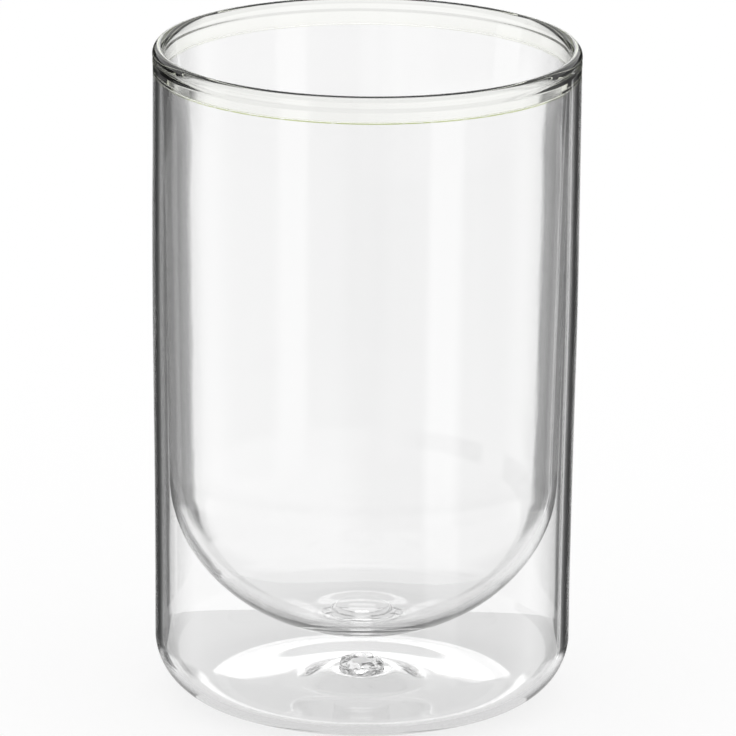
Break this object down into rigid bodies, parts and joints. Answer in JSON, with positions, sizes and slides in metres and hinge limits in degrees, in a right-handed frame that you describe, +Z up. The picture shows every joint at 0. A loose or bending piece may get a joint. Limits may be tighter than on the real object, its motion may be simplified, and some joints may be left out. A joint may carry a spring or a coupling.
{
  "type": "double walled glass cup",
  "caption": "Tall straight double walled glass tumbler with a round-bottomed inner bowl, a fused lip and a rounded foot.",
  "frame": {"origin": "on the table surface, under the middle of the glass", "axes": "+Z up along the glass's axis; the glass is round, so +X and +Y are any two directions square to it"},
  "size_m": [0.08, 0.08, 0.125],
  "materials": {
    "outer_glass": "clear, fire-polished",
    "bowl_glass": "clear, fire-polished",
    "lip_glass": "clear with a faint olive tint in the thick edge, fire-polished",
    "seal_glass": "clear, melted drop"
  },
  "bodies": {
    "root": {"outer_shell": "outer_glass", "inner_bowl": "bowl_glass", "rim_bead": "lip_glass", "bowl_drop": "bowl_glass", "vent_seal": "seal_glass"}
  },
  "joints": []
}
